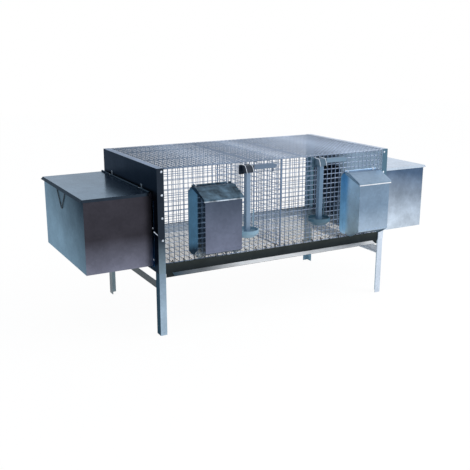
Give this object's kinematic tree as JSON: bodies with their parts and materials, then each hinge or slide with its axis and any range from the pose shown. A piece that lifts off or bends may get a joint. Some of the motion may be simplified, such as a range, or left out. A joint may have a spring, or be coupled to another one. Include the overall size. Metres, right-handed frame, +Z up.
{
  "type": "two-place rabbit breeding cage",
  "caption": "Wire rabbit cage on angle legs with a lidded nest box at each end, hopper feeders and cup drinkers on the front.",
  "frame": {"origin": "on the floor, under the middle of the whole outline", "axes": "+X to the right along the front, +Y from the front to the back, +Z up"},
  "size_m": [1.5116, 0.6508, 0.604],
  "materials": {
    "galvanised_sheet": "galvanised, satin",
    "feeder_sheet": "galvanised, satin",
    "leg_steel": "galvanised, dull",
    "galvanised_wire": "galvanised wire, bright",
    "black_plastic": "moulded, satin",
    "pipe_plastic": "smooth grey tube"
  },
  "bodies": {
    "cage": {"back_bottom_rail": "leg_steel", "back_left_leg": "leg_steel", "back_right_leg": "leg_steel", "back_wire": "galvanised_wire", "front_bottom_rail": "leg_steel", "front_left_leg": "leg_steel", "front_right_leg": "leg_steel", "left_cross_rail": "leg_steel", "left_drinker_arm": "black_plastic", "left_drinker_cup": "black_plastic", "left_drinker_head": "black_plastic", "left_drinker_pipe": "pipe_plastic", "left_end_wall": "galvanised_sheet", "left_feeder_back_plate": "feeder_sheet", "left_feeder_hinge": "feeder_sheet", "left_feeder_hopper": "feeder_sheet", "left_floor_wire": "galvanised_wire", "left_front_wire": "galvanised_wire", "left_nest_box": "galvanised_sheet", "left_nest_hinge": "galvanised_sheet", "left_nest_latch": "galvanised_wire", "left_roof_bar": "galvanised_wire", "left_roof_wire": "galvanised_wire", "middle_roof_wire": "galvanised_wire", "right_cross_rail": "leg_steel", "right_drinker_arm": "black_plastic", "right_drinker_cup": "black_plastic", "right_drinker_head": "black_plastic", "right_drinker_pipe": "pipe_plastic", "right_end_wall": "galvanised_sheet", "right_feeder_back_plate": "feeder_sheet", "right_feeder_hinge": "feeder_sheet", "right_feeder_hopper": "feeder_sheet", "right_floor_wire": "galvanised_wire", "right_front_wire": "galvanised_wire", "right_nest_box": "galvanised_sheet", "right_nest_hinge": "galvanised_sheet", "right_nest_latch": "galvanised_wire", "right_roof_bar": "galvanised_wire", "right_roof_wire": "galvanised_wire", "wire_partition": "galvanised_wire"},
    "left_feeder_lid": {"left_feeder_lid": "feeder_sheet"},
    "left_nest_lid": {"left_nest_lid": "galvanised_sheet"},
    "right_feeder_lid": {"right_feeder_lid": "feeder_sheet"},
    "right_nest_lid": {"right_nest_lid": "galvanised_sheet"}
  },
  "joints": [
    {"name": "left_nest_lid_hinge", "type": "hinge", "parent": "cage", "child": "left_nest_lid", "pos_m": [-0.509, 0.0641, 0.51576], "axis": [0, 1, 0], "range_deg": [0, 90]},
    {"name": "right_nest_lid_hinge", "type": "hinge", "parent": "cage", "child": "right_nest_lid", "pos_m": [0.509, 0.0641, 0.51576], "axis": [0, -1, 0], "range_deg": [0, 90]},
    {"name": "left_feeder_lid_hinge", "type": "hinge", "parent": "cage", "child": "left_feeder_lid", "pos_m": [-0.293, -0.2292, 0.5343], "axis": [-1, 0, 0], "range_deg": [0, 95]},
    {"name": "right_feeder_lid_hinge", "type": "hinge", "parent": "cage", "child": "right_feeder_lid", "pos_m": [0.366, -0.2292, 0.5293], "axis": [-1, 0, 0], "range_deg": [0, 95]}
  ]
}
